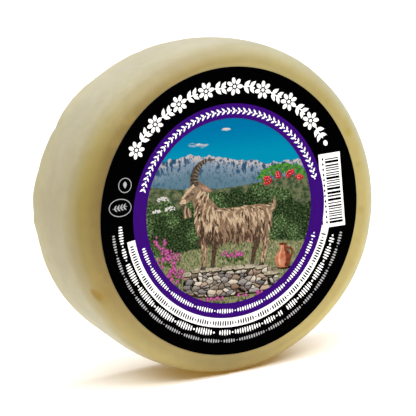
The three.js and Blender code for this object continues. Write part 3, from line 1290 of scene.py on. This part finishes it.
# The goat's inks, in the order of their materials.
STRAW_HAIR, COAT, BROWN_HAIR, DARK_HAIR, HORN_INK, BARE_SKIN, HORN_RIDGE = range(7)

# Layers of ink from the bottom up.
FAR_LAYER, NEAR_LAYER, HOOF_LAYER, HAIR_LAYER, FACE_LAYER, FINE_LAYER, EYE_LAYER = range(4, 11)

# The goat's parts as points (u, v, half width) in its own drawing.
FAR_LEGS = (
    ((-0.095, -0.04, 0.03), (-0.092, -0.12, 0.017), (-0.098, -0.17, 0.012), (-0.104, -0.214, 0.011)),
    ((0.125, -0.04, 0.045), (0.145, -0.115, 0.020), (0.128, -0.17, 0.012), (0.122, -0.212, 0.011)),
)
NEAR_LEGS = (
    ((-0.138, -0.03, 0.040), (-0.150, -0.12, 0.020), (-0.149, -0.17, 0.014), (-0.157, -0.222, 0.013)),
    ((0.160, -0.01, 0.062), (0.178, -0.075, 0.038), (0.196, -0.125, 0.021), (0.183, -0.18, 0.014),
     (0.176, -0.222, 0.013)),
)
BODY_PARTS = (
    ((0.165, 0.002, 0.070), (0.08, -0.012, 0.078), (-0.03, -0.02, 0.084), (-0.125, -0.008, 0.080)),
    ((-0.115, 0.015, 0.072), (-0.158, 0.085, 0.052), (-0.190, 0.150, 0.038)),
    ((-0.188, 0.172, 0.037), (-0.228, 0.150, 0.031), (-0.274, 0.114, 0.020)),
)
TAIL = ((0.218, 0.030, 0.016), (0.240, 0.052, 0.013), (0.252, 0.082, 0.004))
UDDER = ((0.085, -0.085, 0.026), (0.105, -0.106, 0.016))
HORN = (
    (-0.198, 0.200, 0.014), (-0.197, 0.245, 0.0125), (-0.176, 0.287, 0.010),
    (-0.136, 0.312, 0.006), (-0.092, 0.312, 0.002),
)
HAIR = (
    # middle u, v, half width, half height, strokes, heading in degrees, length
    (0.03, -0.018, 0.175, 0.070, 190, -76, 0.044),
    (-0.128, -0.010, 0.066, 0.080, 60, -96, 0.050),
    (-0.152, 0.082, 0.046, 0.070, 46, -108, 0.046),
    (0.175, -0.025, 0.050, 0.075, 46, -78, 0.042),
    (-0.225, 0.152, 0.034, 0.022, 16, -146, 0.020),
)


def on_goat(points):
    """Points (u, v, half width) of the goat's own drawing, placed in the picture at its size there."""
    return [
        (GOAT_AT[0] + GOAT_SCALE * u, GOAT_AT[1] + GOAT_SCALE * v, GOAT_SCALE * half)
        for u, v, half in points
    ]


class CHEESE_OT_goat(bpy.types.Operator):
    """Prints the shaggy goat"""

    bl_idname = "cheese_wheel.goat"
    bl_label = "Goat print"

    def execute(self, context):
        work = Print(context.scene.cheese_print.paper_thickness)
        draw = random.Random(11)
        far_horn = [(u - 0.020, v - 0.003, half * 0.9) for u, v, half in HORN]
        self.line(work, far_horn, FAR_LAYER, HORN_INK)
        for leg in FAR_LEGS:
            self.line(work, leg, FAR_LAYER, DARK_HAIR)
        for leg in (*FAR_LEGS, *NEAR_LEGS):
            self.hoof(work, leg[-1])
        self.line(work, TAIL, FAR_LAYER, BROWN_HAIR)
        self.line(work, UDDER, FAR_LAYER, BARE_SKIN)
        for part in (*NEAR_LEGS, *BODY_PARTS):
            self.line(work, part, NEAR_LAYER, COAT)
        self.coat(work, draw)
        self.fringes(work, draw)
        self.head(work)
        materials = [
            mottled_print("Printed straw hair", ink(198, 168, 134), ink(230, 206, 174), 60),
            mottled_print("Printed brown coat", ink(124, 98, 76), ink(174, 146, 118), 26),
            mottled_print("Printed brown hair", ink(132, 105, 82), ink(170, 140, 110), 60),
            mottled_print("Printed dark hair", ink(64, 49, 40), ink(106, 83, 66), 60),
            mottled_print("Printed horn", ink(48, 41, 36), ink(106, 94, 80), 70),
            mottled_print("Printed bare skin", ink(170, 128, 112), ink(204, 160, 142), 40),
            mottled_print("Printed pale horn ridge", ink(146, 132, 112), ink(182, 166, 146), 40),
        ]
        new_piece("print_goat", work.done(), materials)
        return {"FINISHED"}

    def line(self, work, points, layer, slot):
        work.ribbon(smooth_path(on_goat(points)), layer, slot)

    def hoof(self, work, ankle):
        u, v, half = ankle
        shape = [(u - half, v), (u + half, v), (u + half * 0.9, v - 0.017), (u - half * 1.5, v - 0.017)]
        placed = [(u, v) for u, v, _ in on_goat([(*corner, 0) for corner in shape])]
        work.plate(placed, HOOF_LAYER, HORN_INK)

    def strand(self, work, u, v, length, heading, slot, layer=HAIR_LAYER):
        u, v, long = on_goat([(u, v, length)])[0]
        work.plate(leaf(u, v, long, long * 0.24, heading, 4), layer, slot)

    def coat(self, work, draw):
        """Strands of hair over the coat, darker towards the belly."""
        for u, v, wide, high, count, heading, length in HAIR:
            for _ in range(count):
                reach, turn = math.sqrt(draw.random()), draw.uniform(0, 360)
                across, rise = polar(reach, turn)
                light = 0.5 + 0.42 * rise + draw.uniform(-0.42, 0.42)
                slot = STRAW_HAIR if light > 0.62 else BROWN_HAIR if light > 0.3 else DARK_HAIR
                self.strand(
                    work, u + wide * across - 0.004, v + high * rise + length * 0.4,
                    length * draw.uniform(0.7, 1.2), heading + draw.uniform(-16, 16), slot,
                )

    def fringes(self, work, draw):
        """Longer hair under the belly, along the back, on the near legs, on the tail and as a beard."""
        for i in range(34):
            u = -0.185 + 0.30 * i / 33
            v = -0.068 - 0.012 * math.sin(math.pi * i / 33) + draw.uniform(-0.008, 0.004)
            length, heading = draw.uniform(0.034, 0.052), -90 + draw.uniform(-12, 12)
            self.strand(work, u, v, length, heading, draw.choice((BROWN_HAIR, DARK_HAIR, DARK_HAIR)))
        mixed = (STRAW_HAIR, BROWN_HAIR, DARK_HAIR)
        for i in range(26):
            u = -0.10 + 0.32 * i / 25
            v = 0.060 + 0.006 * math.cos(0.5 * i) + draw.uniform(-0.004, 0.006)
            self.strand(work, u, v, 0.034, -18 + draw.uniform(-14, 14), draw.choice(mixed))
        for leg in NEAR_LEGS:
            path = smooth_path(leg, 4)
            for u, v, half in path[2:-1]:
                for _ in range(3):
                    across = draw.uniform(-0.7, 0.7) * half
                    heading = -92 + draw.uniform(-8, 8)
                    self.strand(work, u + across, v + 0.012, 0.026, heading, draw.choice(mixed))
        for k in range(7):
            self.strand(work, 0.222 + 0.004 * k, 0.034 + 0.007 * k, 0.034, 40 + 9 * k, draw.choice(mixed))
        beard = (DARK_HAIR, BROWN_HAIR, STRAW_HAIR, BROWN_HAIR)
        for k in range(8):
            u, v = -0.262 + 0.0035 * k, 0.100 - 0.003 * k
            self.strand(work, u, v, 0.078 - 0.004 * k, -97 + 3 * k, beard[k % 4], FACE_LAYER)

    def head(self, work):
        """Ear, horn, blaze, muzzle, eye, nostril and mouth."""
        u, v, _ = on_goat([(-0.180, 0.186, 0)])[0]
        work.plate(leaf(u, v, 0.115, 0.046, -24), FACE_LAYER, BROWN_HAIR)
        work.plate(leaf(u + 0.014, v - 0.006, 0.082, 0.024, -24), FINE_LAYER, BARE_SKIN)
        self.line(work, HORN, FACE_LAYER, HORN_INK)
        for i, (u, v, half) in enumerate(smooth_path(on_goat(HORN), 3)[1:10]):
            across, up = polar(half * 0.85, 6 - 13 * i)
            ridge = [(u - across, v - up, 0.0022), (u + across, v + up, 0.0022)]
            work.ribbon(ridge, FINE_LAYER, HORN_RIDGE)
        blaze = ((-0.206, 0.194, 0.007), (-0.240, 0.166, 0.007), (-0.272, 0.134, 0.005))
        self.line(work, blaze, FACE_LAYER, STRAW_HAIR)
        muzzle = ((-0.268, 0.113, 0.014), (-0.279, 0.108, 0.012))
        self.line(work, muzzle, FACE_LAYER, STRAW_HAIR)
        spots = (
            # middle u, v, half width, half height, layer, ink
            (-0.220, 0.160, 0.011, 0.0085, FINE_LAYER, STRAW_HAIR),
            (-0.221, 0.160, 0.0075, 0.0058, EYE_LAYER, HORN_INK),
            (-0.288, 0.116, 0.005, 0.0035, EYE_LAYER, HORN_INK),
        )
        for u, v, long, high, layer, slot in spots:
            u, v, _ = on_goat([(u, v, 0)])[0]
            work.plate(oval(u, v, long, high, -20, 12), layer, slot)
        mouth = ((-0.288, 0.100, 0.0018), (-0.262, 0.100, 0.0022))
        self.line(work, mouth, FINE_LAYER, HORN_INK)


# The flowers round the goat.

# Stands of clover: middle u, v, half width, half height, count of flowers.
CLOVER = (
    (-0.53, -0.18, 0.05, 0.05, 14),
    (-0.47, -0.30, 0.09, 0.07, 40),
    (-0.42, -0.42, 0.07, 0.055, 30),
    (0.035, -0.303, 0.09, 0.024, 18),
    (-0.16, -0.605, 0.13, 0.016, 14),
    (0.20, -0.595, 0.13, 0.016, 12),
)
UMBELS = ((-0.515, 0.115, 0.05), (-0.455, 0.045, 0.044), (-0.56, 0.035, 0.036))
BERRIES = ((0.48, 0.235), (0.385, 0.228), (0.30, 0.2), (0.55, 0.2))
BRANCH = (
    (0.64, 0.20, 0.007), (0.54, 0.255, 0.0065), (0.43, 0.275, 0.005),
    (0.32, 0.255, 0.003), (0.25, 0.215, 0.0015),
)

# The flowers' inks, in the order of their materials.
CLOVER_PETAL, PALE_PETAL, STEM, WHITE_PETAL, BERRY, BERRY_LEAF, TWIG = range(7)

# Layers of ink from the bottom up.
STEM_LAYER, STALK_LAYER, PETAL_LAYER, TOP_LAYER, NEAR_BERRY_LAYER, SHINE_LAYER = range(3, 9)


class CHEESE_OT_flowers(bpy.types.Operator):
    """Prints the clover, the white umbels and the berry branch round the goat"""

    bl_idname = "cheese_wheel.flowers"
    bl_label = "Flower print"

    def execute(self, context):
        work = Print(context.scene.cheese_print.paper_thickness)
        draw = random.Random(7)
        self.berry_branch(work, draw)
        for stand_u, stand_v, wide, high, count in CLOVER:
            for _ in range(count):
                across, rise = polar(math.sqrt(draw.random()), draw.uniform(0, 360))
                u, v = stand_u + wide * across, stand_v + high * rise
                self.clover(work, u, v, draw.uniform(0.009, 0.0155), draw)
        for u, v, size in UMBELS:
            self.umbel(work, u, v, size, draw)
        materials = [
            mottled_print("Printed clover petals", ink(140, 36, 102), ink(190, 66, 142), 90),
            mottled_print("Printed pale petals", ink(196, 84, 154), ink(226, 136, 192), 90),
            mottled_print("Printed stems", ink(34, 54, 24), ink(92, 116, 60), 60),
            mottled_print("Printed white petals", ink(222, 220, 210), ink(250, 250, 246), 90),
            mottled_print("Printed berries", ink(188, 16, 36), ink(222, 38, 50), 60),
            mottled_print("Printed berry leaves", ink(22, 104, 42), ink(104, 168, 66), 34),
            mottled_print("Printed twig", ink(54, 42, 28), ink(96, 76, 52), 60),
        ]
        new_piece("print_flowers", work.done(), materials)
        return {"FINISHED"}

    def clover(self, work, u, v, radius, draw):
        """One flower head of short petals on a leaning stem with two leaves."""
        lean = draw.uniform(-0.012, 0.012)
        foot = (u + lean, v - radius * 3.4)
        stem = [(*foot, 0.0026), (u + lean * 0.3, v - radius * 1.4, 0.0022), (u, v, 0.0022)]
        work.ribbon(stem, STEM_LAYER, STEM)
        for heading in (55, 125):
            work.plate(leaf(*foot, radius * 1.6, radius * 0.6, heading, 3), STEM_LAYER, STEM)
        rounds = ((PETAL_LAYER, 7, 0.62, CLOVER_PETAL), (TOP_LAYER, 4, 0.28, PALE_PETAL))
        for layer, count, reach, slot in rounds:
            for k in range(count):
                at = 360 * (k + draw.uniform(-0.25, 0.25)) / count
                petal = around((u, v), radius * reach, at)
                work.plate(oval(*petal, radius * 0.42, radius * 0.24, at, 6), layer, slot)

    def umbel(self, work, u, v, size, draw):
        """A flat head of tiny white flowers on fine rays."""
        fork = (u, v - size * 0.4)
        stalk = [(u + 0.012, v - size * 2.2, 0.003), (u + 0.002, v - size, 0.0026), (*fork, 0.0024)]
        work.ribbon(stalk, STALK_LAYER, STEM)
        for k in range(5):
            across, rise = polar(size * 0.8, 30 + 30 * k)
            tip = (u + across, v - size * 0.3 + rise * 0.5)
            work.ribbon([(*fork, 0.0018), (*tip, 0.0014)], PETAL_LAYER, STEM)
        for _ in range(34):
            across, rise = polar(size * math.sqrt(draw.random()), draw.uniform(0, 180))
            flower = (u + across, v - size * 0.2 + rise * 0.62)
            work.plate(oval(*flower, 0.0056, 0.0046, 0, 6), TOP_LAYER, WHITE_PETAL)

    def berry_branch(self, work, draw):
        """A leafy branch with red berries that reaches in from the right."""
        branch = smooth_path(BRANCH, 6)
        work.ribbon(branch, STALK_LAYER, TWIG)
        for i in range(1, len(branch) - 1):
            u, v, _ = branch[i]
            for side in (-1, 1):
                heading = 170 + side * draw.uniform(38, 70) + 3 * i
                work.plate(leaf(u, v, draw.uniform(0.04, 0.062), 0.021, heading), PETAL_LAYER, BERRY_LEAF)
        for cluster in BERRIES:
            for k in range(9):
                u, v = around(cluster, draw.uniform(0.006, 0.03), 40 * k)
                layer = NEAR_BERRY_LAYER if k % 2 else TOP_LAYER
                work.plate(oval(u, v - 0.008, 0.0112, 0.0112, 0, 10), layer, BERRY)
                work.plate(oval(u - 0.004, v - 0.004, 0.0024, 0.0024, 0, 6), SHINE_LAYER, WHITE_PETAL)


# The stage.

LAMPS_AIM = Vector((0, 0, 0.03))

# Where the middle of the label lies in the picture, in pixels, and how wide the label radius is there.
PICTURE_SIDE = 416
LABEL_AT = (228.45, 210.72)
LABEL_RADIUS_PIXELS = 145.7


def softbox(name, watts, wide, deep, place):
    """A flat lamp of a width and a depth in metres, turned towards the foot of the wheel."""
    data = bpy.data.lights.new(name, "AREA")
    data.shape = "RECTANGLE"
    data.size = wide
    data.size_y = deep
    data.energy = watts
    lamp = bpy.data.objects.new(name, data)
    bpy.context.scene.collection.objects.link(lamp)
    lamp.location = place
    lamp.rotation_euler = (LAMPS_AIM - Vector(place)).to_track_quat("-Z", "Y").to_euler()


class CHEESE_OT_stage(bpy.types.Operator):
    """Sets the floor, the surround, the lamps and the camera"""

    bl_idname = "cheese_wheel.stage"
    bl_label = "Stage"

    def execute(self, context):
        stage = context.scene.cheese_stage
        self.floor(stage)
        self.surround(context.scene, stage)
        softbox("Overhead softbox", stage.overhead, wide=4.0, deep=1.0, place=(0, -0.2, 1.6))
        softbox("Front strip", stage.front, wide=2.6, deep=0.3, place=(0, -1.2, 1.2))
        self.camera(context, stage)
        return {"FINISHED"}

    def floor(self, stage):
        maker = bmesh.new()
        bmesh.ops.create_circle(maker, cap_ends=True, segments=96, radius=30)
        mesh = bpy.data.meshes.new("floor")
        maker.to_mesh(mesh)
        maker.free()
        floor = bpy.data.objects.new("floor", mesh)
        bpy.context.scene.collection.objects.link(floor)
        paint = Paint(bpy.data.materials.new("Pale studio floor"))
        material = paint.finish(
            {
                "Base Color": stage.floor,
                "Roughness": 0.9,
                "Emission Color": stage.glow,
                "Emission Strength": 1.0,
                "Specular IOR Level": 0.0,
            }
        )
        mesh.materials.append(material)

    def surround(self, scene, stage):
        """A dome of white light. Below the level of the floor it is as pale as the floor."""
        paint = Paint(bpy.data.worlds.new("White surround"))
        _, _, rise = paint.axes(paint.node("ShaderNodeTexCoord", output="Generated"))
        edge = {"Value": rise, "From Min": -0.002, "From Max": 0.0, "To Min": 1.0, "To Max": stage.dome}
        strength = paint.node("ShaderNodeMapRange", None, edge)
        light = paint.node("ShaderNodeBackground", None, {"Color": (1, 1, 1), "Strength": strength})
        paint.node("ShaderNodeOutputWorld", None, {"Surface": light})
        scene.world = paint.owner
        scene.view_settings.view_transform = "Standard"

    def camera(self, context, stage):
        azimuth, elevation, roll = stage.azimuth, stage.elevation, stage.roll
        flat = math.cos(elevation)
        back = Vector((math.sin(azimuth) * flat, -math.cos(azimuth) * flat, math.sin(elevation)))
        level = Vector((math.cos(azimuth), math.sin(azimuth), 0))
        upright = back.cross(level)
        right = level * math.cos(roll) - upright * math.sin(roll)
        up = back.cross(right)
        pixel = LABEL_RADIUS / LABEL_RADIUS_PIXELS
        label = on_label(0, 0, context.scene.cheese_print.paper_thickness)
        beside = (LABEL_AT[0] - PICTURE_SIDE / 2) * pixel
        below = (LABEL_AT[1] - PICTURE_SIDE / 2) * pixel
        aim = label - right * beside + up * below
        data = bpy.data.cameras.new("Camera")
        # Parallel lines stay parallel in the photograph, so the camera has no perspective.
        data.type = "ORTHO"
        data.ortho_scale = PICTURE_SIDE * pixel
        data.clip_start, data.clip_end = 0.1, 100
        camera = bpy.data.objects.new("Camera", data)
        context.scene.collection.objects.link(camera)
        turn = Matrix((right, up, back)).transposed().to_4x4()
        camera.matrix_world = Matrix.Translation(aim + back * stage.distance) @ turn
        context.scene.camera = camera


class CHEESE_PT_panel(bpy.types.Panel):
    """The steps that build the wheel, and what can be changed about it"""

    bl_label = "Goat cheese wheel"
    bl_idname = "CHEESE_PT_panel"
    bl_space_type = "VIEW_3D"
    bl_region_type = "UI"
    bl_category = "Cheese"

    def draw(self, context):
        layout = self.layout
        for step in STEPS:
            layout.operator(step.bl_idname)
        for settings in (context.scene.cheese_rind, context.scene.cheese_print, context.scene.cheese_stage):
            box = layout.box()
            for name in settings.__annotations__:
                box.prop(settings, name)


STEPS = (
    CHEESE_OT_rind,
    CHEESE_OT_label_paper,
    CHEESE_OT_landscape,
    CHEESE_OT_borders,
    CHEESE_OT_ornaments,
    CHEESE_OT_rocks,
    CHEESE_OT_goat,
    CHEESE_OT_flowers,
    CHEESE_OT_stage,
)
SETTINGS = {
    "cheese_rind": RindSettings,
    "cheese_print": PrintSettings,
    "cheese_stage": StageSettings,
}


def register():
    for name, group in SETTINGS.items():
        bpy.utils.register_class(group)
        setattr(bpy.types.Scene, name, PointerProperty(type=group))
    for item in (*STEPS, CHEESE_PT_panel):
        bpy.utils.register_class(item)


def unregister():
    for item in (CHEESE_PT_panel, *reversed(STEPS)):
        bpy.utils.unregister_class(item)
    for name, group in SETTINGS.items():
        delattr(bpy.types.Scene, name)
        bpy.utils.unregister_class(group)


def main():
    register()
    bpy.ops.cheese_wheel.rind()
    bpy.ops.cheese_wheel.label_paper()
    bpy.ops.cheese_wheel.landscape()
    bpy.ops.cheese_wheel.borders()
    bpy.ops.cheese_wheel.ornaments()
    bpy.ops.cheese_wheel.rocks()
    bpy.ops.cheese_wheel.goat()
    bpy.ops.cheese_wheel.flowers()
    bpy.ops.cheese_wheel.stage()


if __name__ == "__main__":
    main()
